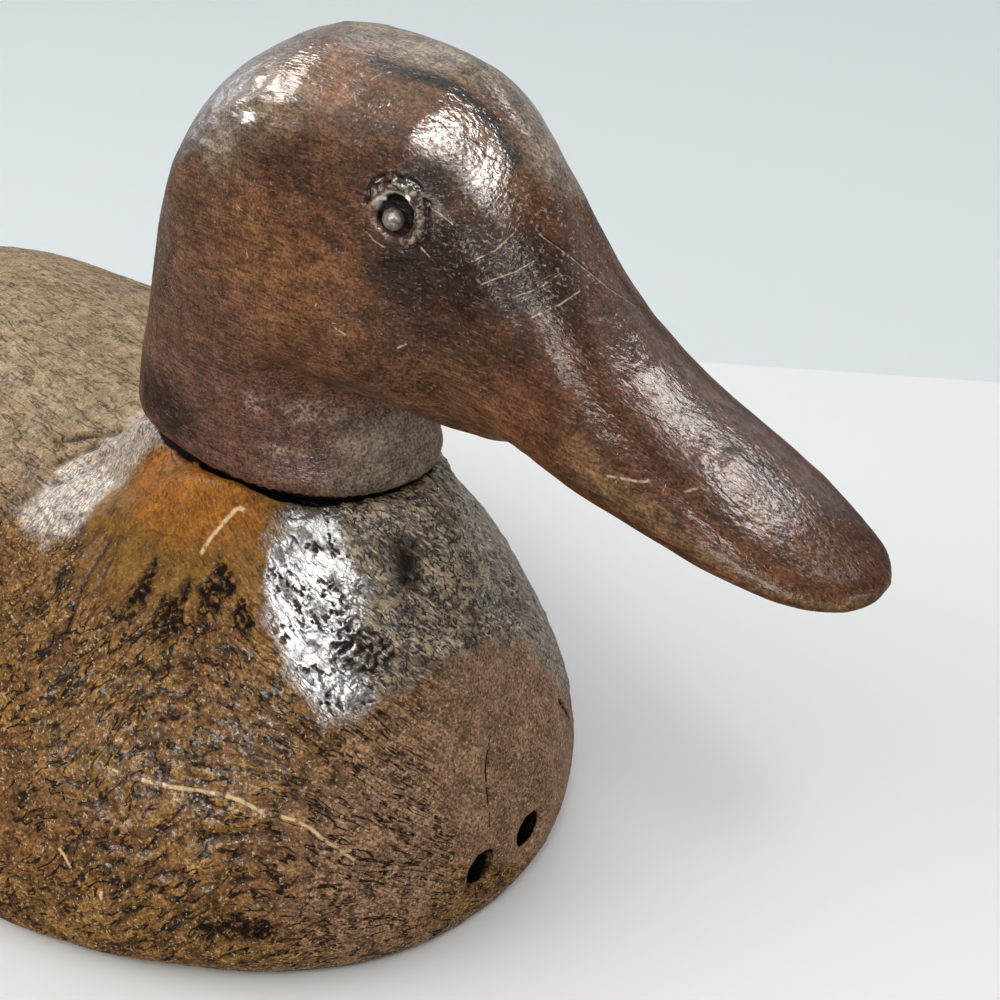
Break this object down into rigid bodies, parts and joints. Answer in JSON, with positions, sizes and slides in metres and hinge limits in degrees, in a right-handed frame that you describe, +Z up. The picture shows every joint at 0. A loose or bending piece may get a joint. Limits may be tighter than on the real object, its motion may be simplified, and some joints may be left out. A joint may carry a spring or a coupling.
{
  "type": "wood duck decoy",
  "caption": "Carved wooden duck decoy with a low broad body, a separate long-billed head on a flat seat, domed tack eyes and anchor-line holes in the breast.",
  "frame": {"origin": "on the flat underside, below the middle of the overall length", "axes": "+X forward towards the bill, +Y towards the bird's left, +Z up"},
  "size_m": [0.4, 0.163, 0.1793],
  "materials": {
    "body_wood": "weathered carved wood, olive to ochre brown under a worn glossy varnish",
    "head_wood": "smooth dark red-brown wood with a rubbed old varnish",
    "eye_iron": "dull dark iron"
  },
  "bodies": {
    "root": {"body": "body_wood", "head": "head_wood", "eye_tack_right": "eye_iron", "eye_tack_left": "eye_iron"}
  },
  "joints": []
}
